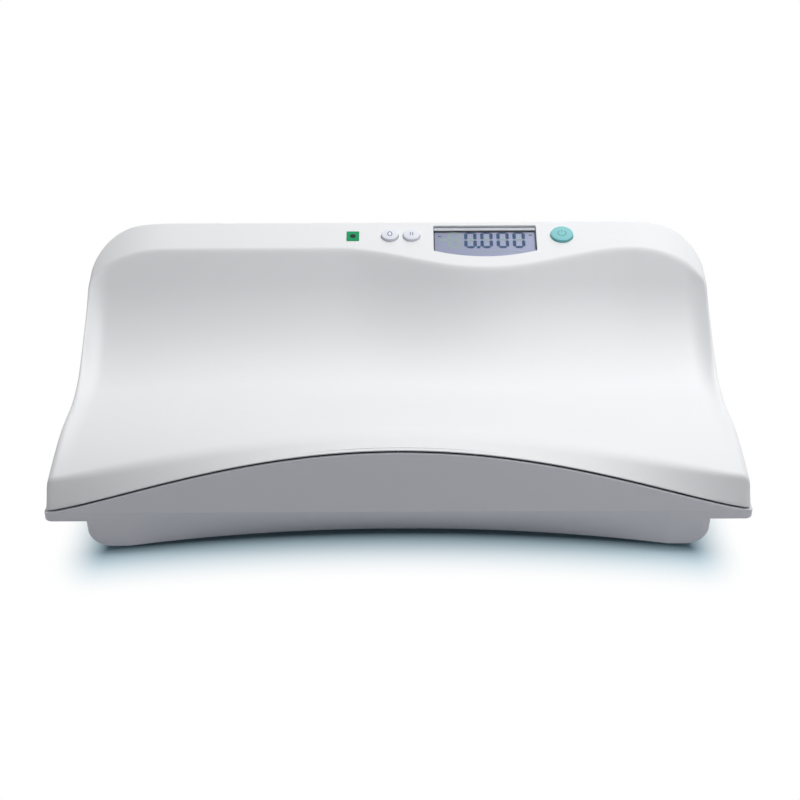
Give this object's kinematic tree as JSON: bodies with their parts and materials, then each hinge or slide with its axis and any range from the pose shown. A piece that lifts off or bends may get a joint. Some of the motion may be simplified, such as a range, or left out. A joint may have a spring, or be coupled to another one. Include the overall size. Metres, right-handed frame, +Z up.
{
  "type": "digital baby weighing scale",
  "caption": "Low weighing scale for infants: trough-shaped tray with arched front lip and tilted control strip, carried by a load cell in a shallow base housing on levelling feet.",
  "frame": {"origin": "on the surface the scale stands on, below the middle of its outline", "axes": "+X to the user's right along the tray, +Y to the rear wall with the control strip, +Z up"},
  "size_m": [0.556, 0.333, 0.181],
  "materials": {
    "white_abs": "satin white moulded ABS",
    "housing_abs": "satin white moulded ABS",
    "zinc_steel": "zinc plated pressed steel",
    "anodised_alloy": "clear anodised milled bar",
    "turned_brass": "turned",
    "black_nylon": "fine moulded texture",
    "foot_rubber": "matt",
    "teal_cap": "satin teal",
    "pale_cap": "satin pale grey",
    "green_sticker": "printed vinyl film",
    "clear_lens": "clear polished acrylic",
    "dark_bezel": "fine moulded texture",
    "lcd_glass": "polarised panel",
    "reflector_film": "white film",
    "circuit_board": "green solder mask",
    "silicone": "matt moulded",
    "cable_jacket": "matt jacket",
    "battery_jacket": "shrink sleeve",
    "nickel_contact": "nickel plated"
  },
  "bodies": {
    "base": {"base_shell": "housing_abs", "base_frame": "zinc_steel", "frame_screw_1": "zinc_steel", "frame_screw_2": "zinc_steel", "frame_screw_3": "zinc_steel", "frame_screw_4": "zinc_steel", "foot_insert_1": "turned_brass", "foot_insert_2": "turned_brass", "foot_insert_3": "turned_brass", "foot_insert_4": "turned_brass", "load_cell_spacer_lower": "zinc_steel", "load_cell": "anodised_alloy", "load_cell_bolt_1": "zinc_steel", "load_cell_bolt_2": "zinc_steel", "battery_box": "black_nylon", "battery_cell_1": "battery_jacket", "battery_cell_2": "battery_jacket", "battery_cell_3": "battery_jacket", "battery_cell_4": "battery_jacket", "battery_cell_5": "battery_jacket", "battery_cell_6": "battery_jacket", "battery_contact_front": "nickel_contact", "battery_contact_rear": "nickel_contact", "power_board": "circuit_board", "dc_socket": "black_nylon"},
    "platform": {"tray_shell": "white_abs", "tray_frame": "zinc_steel", "load_cell_spacer_upper": "zinc_steel", "load_cell_bolt_3": "zinc_steel", "load_cell_bolt_4": "zinc_steel", "tray_screw_1": "zinc_steel", "tray_screw_2": "zinc_steel", "tray_screw_3": "zinc_steel", "tray_screw_4": "zinc_steel", "link_cable": "cable_jacket", "display_lens": "clear_lens", "display_bezel": "dark_bezel", "lcd_panel": "lcd_glass", "lcd_reflector": "reflector_film", "head_board": "circuit_board", "head_screw_1": "zinc_steel", "head_screw_2": "zinc_steel", "head_screw_3": "zinc_steel", "head_screw_4": "zinc_steel", "key_mat_left": "silicone", "key_mat_right": "silicone", "control_label": "green_sticker"},
    "start_key": {"start_button": "teal_cap"},
    "hold_key": {"hold_button": "pale_cap"},
    "tare_key": {"tare_button": "pale_cap"},
    "foot_1": {"foot_wheel_1": "black_nylon", "foot_pad_1": "foot_rubber"},
    "foot_2": {"foot_wheel_2": "black_nylon", "foot_pad_2": "foot_rubber"},
    "foot_3": {"foot_wheel_3": "black_nylon", "foot_pad_3": "foot_rubber"},
    "foot_4": {"foot_wheel_4": "black_nylon", "foot_pad_4": "foot_rubber"},
    "battery_hatch": {"battery_door": "housing_abs"}
  },
  "joints": [
    {"name": "platform_sink", "type": "slide", "parent": "base", "child": "platform", "axis": [0, 0, 1], "range_m": [-0.001, 0.0003], "stiffness_N_per_m": 196000, "springref_m": 0.0001, "deforming": ["load_cell", "link_cable"]},
    {"name": "start_press", "type": "slide", "parent": "platform", "child": "start_key", "axis": [0, 0.4131, -0.9107], "range_m": [0, 0.001], "stiffness_N_per_m": 1500, "springref_m": -0.0005, "deforming": ["key_mat_right"]},
    {"name": "hold_press", "type": "slide", "parent": "platform", "child": "hold_key", "axis": [0, 0.4131, -0.9107], "range_m": [0, 0.001], "stiffness_N_per_m": 1500, "springref_m": -0.0005, "deforming": ["key_mat_left"]},
    {"name": "tare_press", "type": "slide", "parent": "platform", "child": "tare_key", "axis": [0, 0.4131, -0.9107], "range_m": [0, 0.001], "stiffness_N_per_m": 1500, "springref_m": -0.0005, "deforming": ["key_mat_left"]},
    {"name": "foot_1_screw_out", "type": "slide", "parent": "base", "child": "foot_1", "axis": [0, 0, 1], "range_m": [-0.008, 0]},
    {"name": "foot_2_screw_out", "type": "slide", "parent": "base", "child": "foot_2", "axis": [0, 0, 1], "range_m": [-0.008, 0]},
    {"name": "foot_3_screw_out", "type": "slide", "parent": "base", "child": "foot_3", "axis": [0, 0, 1], "range_m": [-0.008, 0]},
    {"name": "foot_4_screw_out", "type": "slide", "parent": "base", "child": "foot_4", "axis": [0, 0, 1], "range_m": [-0.008, 0]},
    {"name": "battery_hatch_slide", "type": "slide", "parent": "base", "child": "battery_hatch", "axis": [0, 1, 0], "range_m": [0, 0.012]}
  ]
}
